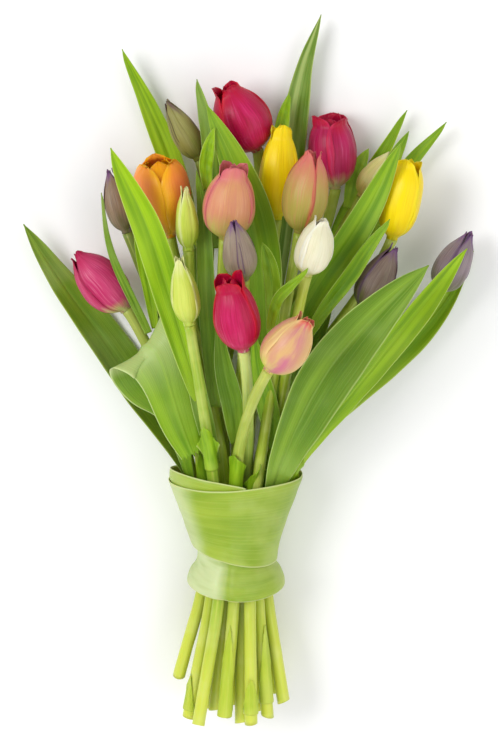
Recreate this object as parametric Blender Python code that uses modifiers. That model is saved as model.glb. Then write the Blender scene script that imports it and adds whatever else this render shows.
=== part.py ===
"""A hand-tied bunch of tulips, lying on its back: stems towards -Y, heads towards +Y, front up."""
import math

import bmesh
import bpy
from mathutils import Vector

MM = 0.001

# Overall sizes
CROWN_WIDTH = 0.268          # across the outermost leaf tips
CROWN_LENGTH = 0.320         # from the tie to the highest leaf tip
FOOT_LENGTH = 0.111          # from the tie to the lowest cut end

# Stems
NECK_RADIUS = 0.0030
GRIP_RADIUS = 0.0035         # where the tie holds them
FOOT_RADIUS = 0.0040
STEM_GAP = 0.0014            # air between neighbouring stems at the tie
STEM_SIDES = 2               # bevel resolution, which makes eight sides
FOOT_FAN = (1.95, 1.26)      # how far the feet spread, across and up
FOOT_LEAN = -0.003           # how far the feet stand to one side of the tie
FOOT_TWIST = math.radians(8)
FOOT_PULL = (1.2, 1.0)       # how straight a foot leaves the cut end and reaches the tie
RIM_FAN = (1.55, 1.30)       # how far the stems have spread at the wrap's rim
HEAD_PULL = (0.8, 0.5)       # how straight a stem leaves the rim and reaches its head

# Heads and leaves
HEAD_GAP = 0.0003
HEAD_SIDES = 12
HEAD_RINGS = 9
HEAD_LOBES = 0.03            # how far the three outer petals swell the head
LEAF_THICKNESS = 0.0009
LEAF_TIP_WIDTH = 0.0012
LEAF_GRID = (4, 10)
FOLD_GRID = (4, 20)
TIP_SHAPE = 0.85             # under 1 keeps a leaf broad towards its tip

# Tie and wrap
TIE_CENTRE = Vector((-8, -113, 30)) * MM
TIE_CORD = 0.0007
TIE_GAP = 0.0004
WRAP_THICKNESS = 0.0010
WRAP_GAP = 0.0005
RIM_HEIGHT = 0.0455          # from the tie up to the wrap's rim
RIM_FLARE = (1.62, 1.26)     # the rim against the waist, across and up
RIM_LIFT = 0.002             # how much higher the rim's middle is than the tie's
RIM_RISE = 0.006             # how much higher the strip's inner end stands
FLARE_CURVE = 1.1
WRAP_BELOW = 0.0075          # how far the upper band reaches below the tie
WRAP_TURNS = 1.30
WRAP_START = math.radians(200)
SKIRT_TOP = 0.0035           # where the lower band starts below the tie
SKIRT_LENGTH = 0.024
SKIRT_BULGE = (0.0070, 0.0045)  # across and up
SKIRT_CLEAR = 0.0010         # how far below the upper band's edge the lower one starts to swell
SKIRT_TURNS = (0.92, 1.08)   # round the stems under the upper band, and below it
SKIRT_START = math.radians(250)

# A head's form: where its widest place is, and how blunt its ends are.
CLOSED = (0.75, 0.60)
SLIM = (0.65, 0.75)
OPEN = (0.90, 0.42)
FLARED = (1.15, 0.40)

# The sizes that the places in the tables below are given for. place() carries them to the sizes above.
TABLE_WIDTH = 0.268
TABLE_LENGTH = 0.320
TABLE_RIM = 0.0455
TABLE_BUNDLE = 0.0203
RIM_REACH = 0.080            # how far above the rim the crown is free of the bundle's size

# Each flower: its slot at the tie as (row, place), where its neck and its tip are, how wide its head is,
# the head's form, how far its cut end is above the lowest one, and its colour. Places are in millimetres.
FLOWERS = {
    "crimson_top": ((0, 0), (5, 129, 22), (-15, 170, 30), 34, CLOSED, 6, (0.55, 0.02, 0.10)),
    "crimson_right": ((0, 1), (51, 105, 16), (47, 151, 16), 29, OPEN, 3, (0.45, 0.03, 0.14)),
    "yellow_centre": ((1, 2), (16, 90, 34), (19, 148, 36), 24, CLOSED, 12, (0.95, 0.68, 0.02)),
    "pink_green": ((4, 2), (29, 87, 60), (37, 137, 64), 27, CLOSED, 4, (0.72, 0.42, 0.30)),
    "yellow_right": ((0, 2), (84, 78, 33), (94, 128, 36), 25, OPEN, 9, (0.95, 0.72, 0.02)),
    "olive_bud": ((1, 0), (-29, 124, 24), (-49, 160, 26), 17, SLIM, 2, (0.25, 0.23, 0.12)),
    "orange": ((3, 1), (-46, 81, 41), (-54, 130, 48), 34, FLARED, 8, (0.90, 0.30, 0.05)),
    "purple_left": ((2, 1), (-72, 79, 18), (-83, 118, 16), 18, SLIM, 5, (0.25, 0.16, 0.22)),
    "pale_bud_upper": ((3, 0), (-35, 77, 60), (-37, 116, 66), 14, SLIM, 3, (0.66, 0.76, 0.34)),
    "pink_centre": ((1, 1), (-14, 84, 63), (-8, 130, 71), 31, CLOSED, 7, (0.80, 0.40, 0.34)),
    "lilac_centre": ((2, 2), (-3, 64, 81), (-9, 102, 95), 20, SLIM, 10, (0.38, 0.28, 0.30)),
    "crimson_centre": ((3, 2), (-3, 25, 94), (-12, 72, 102), 27, CLOSED, 0, (0.60, 0.02, 0.12)),
    "peach_front": ((4, 1), (11, 15, 101), (34, 49, 109), 27, CLOSED, 9, (0.88, 0.58, 0.36)),
    "white": ((3, 3), (33, 65, 74), (42, 101, 82), 22, CLOSED, 5, (0.90, 0.88, 0.74)),
    "pale_bud_lower": ((4, 0), (-34, 38, 84), (-40, 80, 90), 17, SLIM, 1, (0.68, 0.78, 0.36)),
    "magenta_left": ((2, 0), (-73, 34, 26), (-104, 70, 30), 28, CLOSED, 26, (0.62, 0.08, 0.22)),
    "purple_right": ((1, 3), (66, 39, 45), (86, 78, 47), 22, SLIM, 14, (0.32, 0.22, 0.28)),
    "purple_far": ((2, 4), (113, 44, 22), (132, 81, 20), 22, SLIM, 11, (0.34, 0.26, 0.34)),
    "cream_bud": ((2, 3), (66, 100, 17), (85, 128, 15), 18, SLIM, 6, (0.80, 0.72, 0.48)),
}

# Each leaf: its midline from base to tip in millimetres, its greatest width, where along it that is,
# the base's width against the greatest, how far it is rolled about its midline at base and tip
# in degrees (nought faces up), and how deep its trough is against its width.
LEAVES = {
    "leaf_far_left": (((-35, -72, 22), (-47, -47, 17), (-67, -18, 10), (-88, 13, 8), (-114, 50, 11),
                       (-134, 84, 18)), 27, 0.45, 0.32, (-50, -30), 0.12),
    "leaf_upper_left": (((-32, 67, 12), (-39, 97, 10), (-47, 123, 9), (-55, 143, 9), (-64, 164, 10),
                         (-75, 187, 13)), 14, 0.4, 0.5, (0, 0), 0.15),
    "leaf_long_left": (((-27, -22, 50), (-35, 10, 61), (-47, 55, 69), (-58, 93, 74), (-69, 118, 77),
                        (-79, 139, 78)), 18, 0.5, 0.4, (0, 10), 0.15),
    "leaf_dark_top": (((-19, 71, 34), (-21, 101, 34), (-23, 137, 34), (-27, 157, 32), (-31, 172, 32)),
                      9, 0.45, 0.5, (0, 0), 0.2),
    "leaf_centre": (((4, 0, 36), (8, 26, 39), (8, 57, 42), (4, 85, 45), (-2, 108, 47), (-12, 134, 50),
                     (-25, 160, 52)), 25, 0.5, 0.4, (0, 0), 0.12),
    "leaf_upright": (((-20, -23, 46), (-23, 19, 54), (-25, 53, 54), (-26, 84, 54), (-27, 105, 55),
                      (-31, 123, 58)), 10, 0.35, 0.6, (0, 0), 0.25),
    "leaf_tallest": (((12, 19, 20), (19, 73, 13), (25, 121, 9), (28, 151, 8), (33, 179, 8), (43, 207, 10)),
                     15, 0.5, 0.5, (0, 0), 0.18),
    "leaf_small_top": (((13, 120, 20), (17, 131, 19), (19, 141, 19), (21, 152, 19), (24, 162, 20)),
                       8, 0.5, 0.5, (0, 0), 0.2),
    "leaf_back_right": (((34, 29, 6), (48, 60, 5), (60, 89, 4), (69, 106, 4), (82, 129, 6), (93, 151, 9)),
                        12, 0.4, 0.5, (0, 0), 0.2),
    "leaf_top_right": (((59, 46, 16), (74, 79, 11), (85, 103, 9), (96, 120, 9), (107, 133, 11),
                        (117, 144, 14)), 9, 0.4, 0.5, (0, 0), 0.2),
    "leaf_broad_right": (((13, -32, 34), (22, 7, 37), (34, 41, 40), (57, 77, 46), (71, 101, 47),
                          (80, 121, 48), (87, 138, 50)), 17, 0.5, 0.4, (0, 0), 0.15),
    "leaf_narrow_right": (((34, 23, 52), (45, 42, 54), (59, 61, 55), (71, 80, 56), (82, 94, 57)),
                          9, 0.5, 0.5, (0, 0), 0.2),
    "leaf_front_right": (((15, -76, 47), (20, -54, 53), (30, -28, 59), (43, 0, 64), (61, 26, 68),
                          (82, 49, 69), (104, 69, 66)), 35, 0.5, 0.4, (-30, 0), 0.12),
    "leaf_bright_right": (((23, -71, 34), (38, -44, 37), (62, -15, 37), (80, 9, 38), (97, 32, 40),
                           (113, 54, 42), (127, 75, 44)), 18, 0.5, 0.45, (-60, 0), 0.14),
    "leaf_outer_right": (((19, -69, 22), (36, -43, 19), (68, -15, 8), (95, 9, 6), (117, 34, 5),
                          (134, 66, 6)), 22, 0.45, 0.3, (-30, 0), 0.18),
    "leaf_curl": (((12, 34, 82), (14, 45, 83), (17, 54, 83), (25, 62, 84), (34, 71, 86)),
                  6, 0.5, 0.6, (0, 0), 0.2),
    "leaf_short": (((13, 29, 70), (14, 47, 71), (13, 65, 73), (10, 77, 74), (7, 84, 76)),
                   9, 0.45, 0.6, (0, 0), 0.15),
    "leaf_thin": (((-59, 20, 33), (-63, 29, 33), (-67, 38, 35), (-72, 50, 39), (-79, 66, 41), (-84, 85, 39),
                   (-86, 106, 34)), 5, 0.5, 0.8, (0, 0), 0.1),
}

# The folded leaf comes up behind, rolls over towards the front and hangs down again. These are its two
# edges from the base to the torn tip, in millimetres.
FOLD_LEFT = ((-35, -74, 37), (-44, -52, 35), (-56, -28, 33), (-72, -22, 32), (-81, -8, 37), (-77, 0, 47),
             (-66, -1, 52), (-58, -12, 53), (-54, -26, 53), (-48, -40, 53), (-38, -55, 53))
FOLD_RIGHT = ((-33, -73, 38), (-36, -46, 38), (-37, -15, 36), (-40, 10, 33), (-49, 32, 39), (-48, 35, 49),
              (-46, 26, 52), (-41, 8, 51), (-35, -12, 50), (-30, -32, 50), (-26, -52, 51))


def clearScene():
    for item in list(bpy.data.objects):
        bpy.data.objects.remove(item, do_unlink=True)


def material(name, colour, roughness):
    made = bpy.data.materials.new(name)
    made.use_nodes = True
    shader = made.node_tree.nodes["Principled BSDF"]
    shader.inputs["Base Color"].default_value = (*colour, 1.0)
    shader.inputs["Roughness"].default_value = roughness
    shader.inputs["Metallic"].default_value = 0.0
    return made


def smooth(t):
    t = min(max(t, 0), 1)
    return t * t * (3 - 2 * t)


def bundleRadius():
    return 2 * (2 * GRIP_RADIUS + STEM_GAP) + GRIP_RADIUS


def place(point):
    """A table place in metres. Near the rim it follows the bundle's size, and further up the crown's."""
    x, y, z = Vector(point) * MM - TIE_CENTRE
    above = y - TABLE_RIM
    free = smooth(above / RIM_REACH)
    bundle = bundleRadius() / TABLE_BUNDLE
    across = bundle + (CROWN_WIDTH / TABLE_WIDTH - bundle) * free
    deep = bundle + (1 - bundle) * free
    stretch = (CROWN_LENGTH - RIM_HEIGHT) / (TABLE_LENGTH - TABLE_RIM)
    return TIE_CENTRE + Vector((x * across, RIM_HEIGHT + above * stretch, z * deep))


def crownScale():
    return min(CROWN_WIDTH / TABLE_WIDTH, CROWN_LENGTH / TABLE_LENGTH)


def addMesh(name, bm, colour, roughness, group):
    mesh = bpy.data.meshes.new(name)
    bm.to_mesh(mesh)
    bm.free()
    mesh.shade_smooth()
    item = bpy.data.objects.new(name, mesh)
    mesh.materials.append(material(name, colour, roughness))
    group.objects.link(item)
    return item


def hermite(start, startPull, end, endPull, t):
    a = 2 * t ** 3 - 3 * t ** 2 + 1
    b = t ** 3 - 2 * t ** 2 + t
    c = -2 * t ** 3 + 3 * t ** 2
    d = t ** 3 - t ** 2
    return start * a + startPull * b + end * c + endPull * d


def smoothPoint(points, t):
    """A point on the smooth curve through evenly numbered points, t running from 0 to 1."""
    last = len(points) - 1
    span = min(int(t * last), last - 1)
    part = t * last - span
    before = points[max(span - 1, 0)]
    start, end = points[span], points[span + 1]
    after = points[min(span + 2, last)]
    return hermite(start, (end - before) / 2, end, (after - start) / 2, part)


def slotOffset(slot):
    """Where a stem sits in the bundle: rows of 3, 4, 5, 4 and 3 packed like a honeycomb."""
    row, column = slot
    pitch = 2 * GRIP_RADIUS + STEM_GAP
    count = 5 - abs(row - 2)
    return Vector(((column - (count - 1) / 2) * pitch, 0, (row - 2) * pitch * math.sqrt(3) / 2))


def stemPoints(slot, neck, axis, cutAbove):
    offset = slotOffset(slot)
    grip = TIE_CENTRE + offset
    twisted = Vector((offset.x * math.cos(FOOT_TWIST) - offset.z * math.sin(FOOT_TWIST), 0,
                      offset.x * math.sin(FOOT_TWIST) + offset.z * math.cos(FOOT_TWIST)))
    foot = TIE_CENTRE + Vector((twisted.x * FOOT_FAN[0] + FOOT_LEAN, cutAbove * MM - FOOT_LENGTH,
                                twisted.z * FOOT_FAN[1]))
    rim = TIE_CENTRE + Vector((offset.x * RIM_FAN[0], RIM_HEIGHT, offset.z * RIM_FAN[1]))
    rise = grip - foot
    arrive = Vector((0, rise.length * FOOT_PULL[1], 0))
    lower = [hermite(foot, rise * FOOT_PULL[0], grip, arrive, i / 4) for i in range(4)]
    middle = [grip, (grip + rim) / 2]
    reach = (neck - rim).length
    leave = (rim - grip).normalized() * reach * HEAD_PULL[0]
    upper = [hermite(rim, leave, neck, axis * reach * HEAD_PULL[1], i / 9) for i in range(10)]
    return lower + middle + upper


def stemRadius(y, neckHeight):
    above = max((y - TIE_CENTRE.y) / neckHeight, 0)
    below = max((TIE_CENTRE.y - y) / FOOT_LENGTH, 0)
    return GRIP_RADIUS + (NECK_RADIUS - GRIP_RADIUS) * above + (FOOT_RADIUS - GRIP_RADIUS) * below


def makeStem(name, flower, group):
    slot, neckPlace, tipPlace, _, _, cutAbove, _ = flower
    neck, tip = place(neckPlace), place(tipPlace)
    points = stemPoints(slot, neck, (tip - neck).normalized(), cutAbove)
    curve = bpy.data.curves.new(name, "CURVE")
    curve.dimensions = "3D"
    curve.bevel_depth = FOOT_RADIUS
    curve.bevel_resolution = STEM_SIDES
    curve.use_fill_caps = True
    spline = curve.splines.new("POLY")
    spline.points.add(len(points) - 1)
    for spot, point in zip(spline.points, points):
        spot.co = (*point, 1.0)
        spot.radius = stemRadius(point.y, neck.y - TIE_CENTRE.y) / FOOT_RADIUS
    item = bpy.data.objects.new(name, curve)
    curve.materials.append(material(name, (0.42, 0.55, 0.12), 0.45))
    group.objects.link(item)
    return item


def makeHead(name, flower, group):
    _, neckPlace, tipPlace, width, form, _, colour = flower
    neck, tip = place(neckPlace), place(tipPlace)
    axis = (tip - neck).normalized()
    start = neck + axis * HEAD_GAP
    length = (tip - start).length
    radius = width * MM / 2 * crownScale()
    early, blunt = form
    bm = bmesh.new()
    bmesh.ops.create_uvsphere(bm, u_segments=HEAD_SIDES, v_segments=HEAD_RINGS, radius=1.0)
    side = axis.cross(Vector((0, 0, 1))).normalized()
    front = axis.cross(side)
    for vert in bm.verts:
        along = (vert.co.z + 1) / 2
        angle = math.atan2(vert.co.y, vert.co.x)
        swell = max(math.sin(math.pi * along ** early), 0.0) ** blunt * radius
        swell *= 1 + HEAD_LOBES * math.cos(3 * angle)
        vert.co = start + axis * along * length + (side * math.cos(angle) + front * math.sin(angle)) * swell
    return addMesh(name, bm, colour, 0.4, group)


def leafWidth(along, width, widest, base):
    if along < widest:
        return width * (base + (1 - base) * math.sin(math.pi / 2 * along / widest))
    return width * math.cos(math.pi / 2 * (along - widest) / (1 - widest)) ** TIP_SHAPE


def solidify(item, thickness):
    skin = item.modifiers.new("thickness", "SOLIDIFY")
    skin.thickness = thickness
    skin.offset = 0.0
    skin.use_even_offset = False


def makeLeaf(name, leaf, group):
    spine, width, widest, base, roll, trough = leaf
    points = [place(point) for point in spine]
    bm = bmesh.new()
    bmesh.ops.create_grid(bm, x_segments=LEAF_GRID[0], y_segments=LEAF_GRID[1], size=1.0)
    for vert in bm.verts:
        across, along = vert.co.x, (vert.co.y + 1) / 2
        centre = smoothPoint(points, along)
        ahead = smoothPoint(points, min(along + 0.01, 1)) - smoothPoint(points, max(along - 0.01, 0))
        level = ahead.cross(Vector((0, 0, 1))).normalized()
        up = level.cross(ahead).normalized()
        turn = math.radians(roll[0] + (roll[1] - roll[0]) * along)
        side = level * math.cos(turn) + up * math.sin(turn)
        face = up * math.cos(turn) - level * math.sin(turn)
        half = max(leafWidth(along, width * MM * crownScale(), widest, base), LEAF_TIP_WIDTH) / 2
        vert.co = centre + side * half * across + face * half * 2 * trough * (across ** 2 - 1 / 3)
    item = addMesh(name, bm, (0.22, 0.42, 0.08), 0.45, group)
    solidify(item, LEAF_THICKNESS)
    return item


def makeFoldedLeaf(name, group):
    left = [place(point) for point in FOLD_LEFT]
    right = [place(point) for point in FOLD_RIGHT]
    bm = bmesh.new()
    bmesh.ops.create_grid(bm, x_segments=FOLD_GRID[0], y_segments=FOLD_GRID[1], size=1.0)
    for vert in bm.verts:
        across, along = (vert.co.x + 1) / 2, (vert.co.y + 1) / 2
        vert.co = smoothPoint(left, along).lerp(smoothPoint(right, along), across)
    item = addMesh(name, bm, (0.30, 0.50, 0.12), 0.45, group)
    solidify(item, LEAF_THICKNESS)
    return item


def makeTie(name, group):
    radius = bundleRadius() + TIE_GAP + TIE_CORD
    bpy.ops.mesh.primitive_torus_add(major_segments=28, minor_segments=6, major_radius=radius,
                                     minor_radius=TIE_CORD, location=TIE_CENTRE,
                                     rotation=(math.pi / 2, 0, 0))
    item = bpy.context.object
    item.name = name
    item.data.name = name
    item.data.shade_smooth()
    item.data.materials.append(material(name, (0.62, 0.50, 0.30), 0.8))
    for owner in list(item.users_collection):
        owner.objects.unlink(item)
    group.objects.link(item)
    return item


def makeWrap(name, turns, rows, rings, outline, group):
    """A strip wound round the stems. outline(down, wound) gives its place, down and round in turns."""
    bm = bmesh.new()
    bmesh.ops.create_grid(bm, x_segments=rings, y_segments=rows, size=1.0)
    for vert in bm.verts:
        vert.co = outline((1 - vert.co.y) / 2, (vert.co.x + 1) / 2 * turns)
    item = addMesh(name, bm, (0.42, 0.60, 0.18), 0.5, group)
    solidify(item, WRAP_THICKNESS)
    return item


def wrapPoint(angle, wide, tall, y, lift):
    return Vector((TIE_CENTRE.x + math.cos(angle) * wide, y, TIE_CENTRE.z + lift + math.sin(angle) * tall))


def innerRadius():
    """The middle of the lower band where it starts, just outside the stems and the tie."""
    return bundleRadius() + TIE_GAP + 2 * TIE_CORD + WRAP_GAP + WRAP_THICKNESS / 2


def upperOutline(down, wound):
    angle = WRAP_START + wound * 2 * math.pi
    waist = innerRadius() + WRAP_THICKNESS + WRAP_GAP
    flare = max(1 - down * (RIM_HEIGHT + WRAP_BELOW) / RIM_HEIGHT, 0)
    spread = flare ** FLARE_CURVE
    grown = (WRAP_THICKNESS + WRAP_GAP) * wound
    wide = waist * (1 + (RIM_FLARE[0] - 1) * spread) + grown
    tall = waist * (1 + (RIM_FLARE[1] - 1) * spread) + grown
    rise = RIM_RISE * max(1 - wound * 2, 0) * (1 - down)
    y = TIE_CENTRE.y + RIM_HEIGHT + rise - down * (RIM_HEIGHT + WRAP_BELOW)
    return wrapPoint(angle, wide, tall, y, RIM_LIFT * flare)


def lowerOutline(down, wound):
    covered = (WRAP_BELOW - SKIRT_TOP + SKIRT_CLEAR) / SKIRT_LENGTH
    free = max(down - covered, 0) / (1 - covered)
    swell = math.sin(math.pi * 0.6 * free ** 0.8)
    wound *= 1 + (SKIRT_TURNS[1] / SKIRT_TURNS[0] - 1) * smooth(free * 3)
    grown = (WRAP_THICKNESS + WRAP_GAP) * smooth((wound - SKIRT_TURNS[0]) / 0.08)
    wide = innerRadius() + SKIRT_BULGE[0] * swell + grown
    tall = innerRadius() + SKIRT_BULGE[1] * swell + grown
    y = TIE_CENTRE.y - SKIRT_TOP - down * SKIRT_LENGTH
    return wrapPoint(SKIRT_START + wound * 2 * math.pi, wide, tall, y, 0)


def restOnFloor(parts, root):
    """Moves the bunch so that it rests at z = 0 with its box centred on the origin."""
    bpy.context.view_layer.update()
    graph = bpy.context.evaluated_depsgraph_get()
    corners = []
    for part in parts:
        shape = part.evaluated_get(graph)
        mesh = shape.to_mesh()
        corners += [part.matrix_world @ vert.co for vert in mesh.vertices]
        shape.to_mesh_clear()
    low = [min(corner[axis] for corner in corners) for axis in range(3)]
    high = [max(corner[axis] for corner in corners) for axis in range(3)]
    root.location = (-(low[0] + high[0]) / 2, -(low[1] + high[1]) / 2, -low[2])


def build():
    clearScene()
    group = bpy.data.collections.new("tulip_bouquet")
    bpy.context.scene.collection.children.link(group)
    root = bpy.data.objects.new("bouquet_origin", None)
    group.objects.link(root)
    parts = []
    for name, flower in FLOWERS.items():
        parts.append(makeStem("stem_" + name, flower, group))
        parts.append(makeHead("head_" + name, flower, group))
    for name, leaf in LEAVES.items():
        parts.append(makeLeaf(name, leaf, group))
    parts.append(makeFoldedLeaf("leaf_folded", group))
    parts.append(makeTie("tie", group))
    parts.append(makeWrap("wrap_upper", WRAP_TURNS, 6, 34, upperOutline, group))
    parts.append(makeWrap("wrap_lower", SKIRT_TURNS[0], 12, 30, lowerOutline, group))
    for part in parts:
        part.parent = root
    restOnFloor(parts, root)


build()
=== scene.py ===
import heapq
import math

import bpy
import numpy as np
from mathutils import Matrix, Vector


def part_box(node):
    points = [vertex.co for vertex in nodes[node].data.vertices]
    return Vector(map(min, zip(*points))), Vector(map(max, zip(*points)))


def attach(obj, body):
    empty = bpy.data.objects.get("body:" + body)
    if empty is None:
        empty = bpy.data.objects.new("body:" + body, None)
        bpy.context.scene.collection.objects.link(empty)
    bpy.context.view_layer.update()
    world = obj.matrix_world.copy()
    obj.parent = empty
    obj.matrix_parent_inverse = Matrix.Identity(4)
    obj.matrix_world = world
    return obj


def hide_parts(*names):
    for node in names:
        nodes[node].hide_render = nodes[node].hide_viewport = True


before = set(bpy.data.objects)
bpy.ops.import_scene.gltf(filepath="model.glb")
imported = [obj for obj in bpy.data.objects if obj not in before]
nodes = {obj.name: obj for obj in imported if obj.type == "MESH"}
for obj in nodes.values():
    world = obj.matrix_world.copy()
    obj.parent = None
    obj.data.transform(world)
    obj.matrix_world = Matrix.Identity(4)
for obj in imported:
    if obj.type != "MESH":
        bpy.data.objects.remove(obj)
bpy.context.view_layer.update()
scene = bpy.context.scene
mm = 0.001
print("frame loaded:", len(nodes), "nodes")


def tone(red, green, blue):
    # a colour given as 0 to 255, made linear
    def part(value):
        value /= 255
        return value / 12.92 if value <= 0.04045 else ((value + 0.055) / 1.055) ** 2.4
    return (part(red), part(green), part(blue), 1.0)


def smooth(t):
    t = np.clip(t, 0.0, 1.0)
    return t * t * (3 - 2 * t)


def unit(v):
    return v / np.maximum(np.linalg.norm(v, axis=-1, keepdims=True), 1e-12)


def wobble(a, b, seed):
    # a smooth uneven field between -1 and 1
    return (np.sin(a * 1.7 + b * 2.9 + seed) + np.sin(a * 3.1 - b * 1.3 + seed * 2.3)
            + np.sin(b * 4.7 + a * 0.9 + seed * 3.7)) / 3


def relax(values, rounds):
    # soft smoothing that keeps both ends
    values = np.array(values, dtype=float)
    for _ in range(rounds):
        values[1:-1] = values[1:-1] * 0.5 + (values[:-2] + values[2:]) * 0.25
    return values


def pick(values, t):
    # a row of values or points read at t, from 0 to 1
    values = np.asarray(values)
    run = np.linspace(0, 1, len(values))
    if values.ndim == 1:
        return np.interp(t, run, values)
    return np.stack([np.interp(t, run, values[:, i]) for i in range(3)], axis=-1)


def sheet(surface, rows, columns, thickness):
    # a closed thin sheet round surface(u, v): u runs across from -1 to 1, v along from 0 to 1
    v, u = np.meshgrid(np.linspace(0, 1, rows), np.linspace(-1, 1, columns), indexing="ij")
    middle = surface(u, v)
    out = unit(np.cross(np.gradient(middle, axis=1), np.gradient(middle, axis=0)))
    half = (thickness(u, v) / 2)[..., None]
    points = np.concatenate([(middle + out * half).reshape(-1, 3), (middle - out * half).reshape(-1, 3)])
    grain = np.stack([(u + 1) / 2, v], axis=-1).reshape(-1, 2)
    count = rows * columns
    index = np.arange(count).reshape(rows, columns)
    a, b = index[:-1, :-1].ravel(), index[:-1, 1:].ravel()
    c, d = index[1:, 1:].ravel(), index[1:, :-1].ravel()
    faces = [np.stack([a, b, c, d], 1), np.stack([d, c, b, a], 1) + count]
    rim = np.concatenate([index[0], index[1:, -1], index[-1, -2::-1], index[-2:0:-1, 0]])
    following = np.roll(rim, -1)
    faces.append(np.stack([following, rim, rim + count, following + count], 1))
    return points, np.concatenate(faces), np.concatenate([grain, grain])


def joined(sheets):
    points, faces, grains, start = [], [], [], 0
    for some, quads, grain in sheets:
        points.append(some)
        faces.append(quads + start)
        grains.append(grain)
        start += len(some)
    return np.concatenate(points), np.concatenate(faces), np.concatenate(grains)


def makePiece(name, shape, material, replaced=None, secondMaterial=None, secondFrom=None):
    points, faces, grain = shape
    mesh = bpy.data.meshes.new(name)
    mesh.from_pydata(points.tolist(), [], [tuple(face) for face in faces])
    layer = mesh.uv_layers.new(name="grain")
    corner = np.empty(len(mesh.loops), dtype=np.int32)
    mesh.loops.foreach_get("vertex_index", corner)
    layer.data.foreach_set("uv", np.asarray(grain)[corner].ravel())
    mesh.materials.append(material)
    if secondMaterial is not None:
        mesh.materials.append(secondMaterial)
        for polygon in list(mesh.polygons)[secondFrom:]:
            polygon.material_index = 1
    mesh.shade_smooth()
    piece = bpy.data.objects.new(name, mesh)
    scene.collection.objects.link(piece)
    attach(piece, "root")
    if replaced:
        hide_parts(replaced)


class Graph:
    # a material's nodes, written as short calls

    def __init__(self, name):
        self.material = bpy.data.materials.new(name)
        self.material.use_nodes = True
        self.tree = self.material.node_tree
        self.shader = self.tree.nodes["Principled BSDF"]

    def node(self, kind, **settings):
        made = self.tree.nodes.new(kind)
        for key, value in settings.items():
            setattr(made, key, value)
        return made

    def feed(self, socket, value):
        if isinstance(value, bpy.types.NodeSocket):
            self.tree.links.new(value, socket)
        else:
            socket.default_value = value

    def maths(self, operation, a, b=0.0):
        made = self.node("ShaderNodeMath", operation=operation)
        self.feed(made.inputs[0], a)
        self.feed(made.inputs[1], b)
        return made.outputs[0]

    def times(self, a, b):
        return self.maths("MULTIPLY", a, b)

    def mix(self, share, a, b):
        made = self.node("ShaderNodeMix", data_type="RGBA")
        self.feed(made.inputs[0], share)
        self.feed(made.inputs[6], a)
        self.feed(made.inputs[7], b)
        return made.outputs[2]

    def ramp(self, share, low, high):
        made = self.node("ShaderNodeMapRange", interpolation_type="SMOOTHSTEP")
        self.feed(made.inputs[0], share)
        made.inputs[1].default_value = low
        made.inputs[2].default_value = high
        return made.outputs[0]

    def grain(self):
        # across the sheet from 0 to 1, along it, and how far from its middle
        uv = self.node("ShaderNodeUVMap", uv_map="grain")
        split = self.node("ShaderNodeSeparateXYZ")
        self.feed(split.inputs[0], uv.outputs[0])
        u, v = split.outputs[0], split.outputs[1]
        side = self.maths("ABSOLUTE", self.maths("SUBTRACT", self.times(u, 2.0), 1.0))
        return u, v, side

    def drawn(self, x, y, scaleX, scaleY, seed, detail=3.0):
        # noise drawn out along the grain
        join = self.node("ShaderNodeCombineXYZ")
        self.feed(join.inputs[0], self.times(x, scaleX))
        self.feed(join.inputs[1], self.times(y, scaleY))
        join.inputs[2].default_value = seed
        made = self.node("ShaderNodeTexNoise", noise_dimensions="3D")
        made.inputs["Scale"].default_value = 1.0
        made.inputs["Detail"].default_value = detail
        self.feed(made.inputs["Vector"], join.outputs[0])
        return made.outputs[0]

    def cloud(self, scale, detail=2.0):
        place = self.node("ShaderNodeTexCoord")
        made = self.node("ShaderNodeTexNoise", noise_dimensions="3D")
        made.inputs["Scale"].default_value = scale
        made.inputs["Detail"].default_value = detail
        self.feed(made.inputs["Vector"], place.outputs["Object"])
        return made.outputs[0]

    def finish(self, colour, height, relief, roughness, **fixed):
        self.feed(self.shader.inputs["Base Color"], colour)
        self.feed(self.shader.inputs["Roughness"], roughness)
        for key, value in fixed.items():
            self.shader.inputs[key.replace("_", " ")].default_value = value
        bump = self.node("ShaderNodeBump")
        bump.inputs["Strength"].default_value = 0.6
        bump.inputs["Distance"].default_value = relief
        self.feed(bump.inputs["Height"], height)
        self.feed(self.shader.inputs["Normal"], bump.outputs[0])
        return self.material


def leafMaterial(name, look, seed):
    g = Graph(name)
    u, v, side = g.grain()
    fine = g.drawn(u, v, 56.0, 1.6, seed)
    broad = g.drawn(u, v, 4.0, 1.4, seed + 7.0, 2.0)
    patches = g.cloud(24.0)
    colour = g.mix(g.ramp(broad, 0.32, 0.70), look["dark"], look["light"])
    colour = g.mix(g.times(g.ramp(patches, 0.42, 0.72), look.get("hazeShare", 0.35)), colour, look["haze"])
    colour = g.mix(g.times(g.ramp(fine, 0.46, 0.68), 0.24), colour, look["vein"])
    colour = g.mix(g.times(g.ramp(fine, 0.46, 0.28), 0.22), colour, look["groove"])
    base = g.ramp(v, look.get("baseEnd", 0.30), look.get("baseStart", 0.0))
    if "baseFrom" in look:
        base = g.times(base, g.ramp(v, look["baseFrom"] - 0.06, look["baseFrom"]))
    colour = g.mix(g.times(base, look.get("baseShare", 0.55)), colour, look["base"])
    colour = g.mix(g.times(g.ramp(side, 0.07, 0.0), 0.30), colour, look["vein"])
    colour = g.mix(g.times(g.ramp(side, 0.94, 0.99), 0.8), colour, look["edge"])
    rough = g.maths("ADD", g.times(fine, 0.20), 0.28)
    return g.finish(colour, fine, 0.0004, rough, Subsurface_Weight=0.06, Subsurface_Scale=0.003,
                    Specular_IOR_Level=0.28)


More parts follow.
